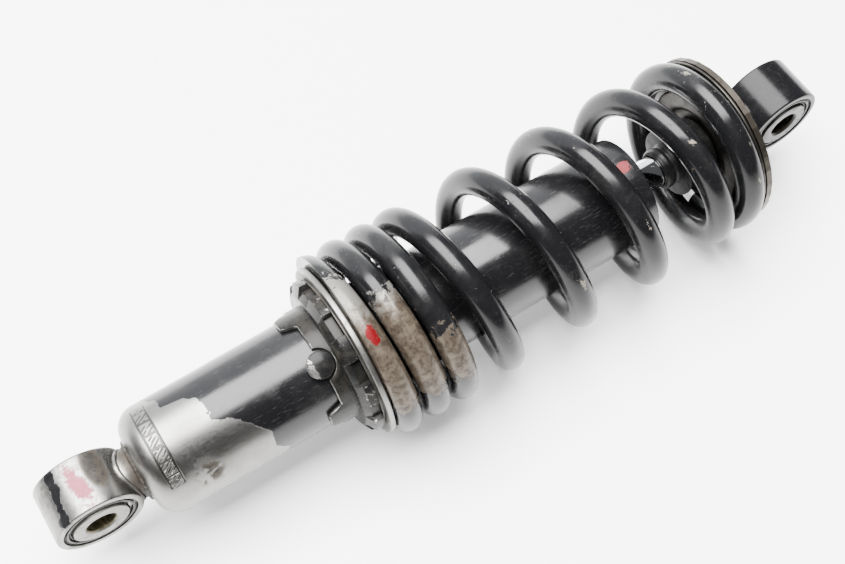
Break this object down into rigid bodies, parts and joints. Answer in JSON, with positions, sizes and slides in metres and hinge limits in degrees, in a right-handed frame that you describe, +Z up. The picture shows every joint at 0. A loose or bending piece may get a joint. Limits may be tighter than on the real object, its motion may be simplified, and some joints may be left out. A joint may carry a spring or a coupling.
{
  "type": "rear shock absorber",
  "caption": "Coil-over rear damper with an eye at each end, a preload collar notched over three bosses, a variable-pitch spring, a bump stop and a full piston train inside the tube.",
  "frame": {"origin": "middle of the bounding box's floor rectangle, the shock lying on its spring", "axes": "+X from the lower eye to the upper eye, +Z up, both bolt bores along Y"},
  "size_m": [0.371, 0.0848, 0.0847],
  "materials": {
    "tube_paint": "gloss black paint, worn to bright steel at the lower end",
    "spring_paint": "gloss black paint, scuffed to dirty grey on the close coils",
    "eye_paint": "gloss black paint over steel",
    "bare_steel": "bare worn steel",
    "worn_steel": "dull grey steel with worn edges",
    "chrome": "polished hard chrome",
    "aluminium": "machined aluminium",
    "bronze": "plain bearing bronze",
    "black_rubber": "matt black rubber",
    "black_plastic": "black plastic"
  },
  "bodies": {
    "damper_body": {"cylinder_tube": "tube_paint", "lower_eye": "bare_steel", "lower_bearing_shell": "bronze", "lower_seal_left": "black_rubber", "lower_seal_right": "black_rubber", "stop_boss_1": "worn_steel", "stop_boss_2": "worn_steel", "stop_boss_3": "worn_steel", "rod_guide": "aluminium", "guide_bush": "bronze", "guide_o_ring": "black_rubber", "oil_seal": "black_rubber", "circlip": "bare_steel", "body_end_cap": "black_plastic", "dust_wiper": "black_rubber"},
    "lower_sleeve_body": {"lower_pivot_sleeve": "bare_steel"},
    "floating_piston": {"separator_piston": "aluminium", "separator_o_ring": "black_rubber"},
    "spring_seat": {"spring_seat_ring": "worn_steel", "main_spring": "spring_paint"},
    "preload_cam": {"preload_collar": "worn_steel"},
    "upper_seat": {"spring_retainer": "worn_steel", "retainer_plate": "worn_steel", "bump_stop": "black_rubber", "bump_cup": "black_plastic"},
    "rod_assembly": {"piston_rod": "chrome", "piston": "aluminium", "piston_band": "black_plastic", "rebound_shims": "bare_steel", "compression_shims": "bare_steel", "piston_nut": "bare_steel", "top_out_bumper": "black_rubber", "upper_eye": "eye_paint", "upper_bearing_shell": "bronze", "upper_seal_left": "black_rubber", "upper_seal_right": "black_rubber"},
    "upper_sleeve_body": {"upper_pivot_sleeve": "bare_steel"}
  },
  "joints": [
    {"name": "preload_lift", "type": "slide", "parent": "damper_body", "child": "spring_seat", "axis": [1, 0, 0], "range_m": [0, 0.008]},
    {"name": "preload_turn", "type": "hinge", "parent": "spring_seat", "child": "preload_cam", "pos_m": [-0.0565, 0, 0.04235], "axis": [1, 0, 0], "range_deg": [0, 11.5]},
    {"name": "stroke", "type": "slide", "parent": "spring_seat", "child": "upper_seat", "axis": [-1, 0, 0], "range_m": [0, 0.03], "stiffness_N_per_m": 90000, "springref_m": -0.004, "deforming": ["main_spring", "bump_stop"]},
    {"name": "rod_turn", "type": "hinge", "parent": "upper_seat", "child": "rod_assembly", "pos_m": [0.1371, 0, 0.04235], "axis": [1, 0, 0], "continuous": true},
    {"name": "gas_piston_slide", "type": "slide", "parent": "damper_body", "child": "floating_piston", "axis": [-1, 0, 0], "range_m": [0, 0.00375]},
    {"name": "lower_sleeve_turn", "type": "hinge", "parent": "damper_body", "child": "lower_sleeve_body", "pos_m": [-0.1675, 0, 0.04235], "axis": [0, 1, 0], "continuous": true},
    {"name": "upper_sleeve_turn", "type": "hinge", "parent": "rod_assembly", "child": "upper_sleeve_body", "pos_m": [0.1675, 0, 0.04235], "axis": [0, 1, 0], "continuous": true}
  ],
  "couplings": [
    {"joint": "preload_turn", "follows": "preload_lift", "rad_per_m": 25.089},
    {"joint": "gas_piston_slide", "follows": "stroke", "ratio": 0.1234}
  ]
}
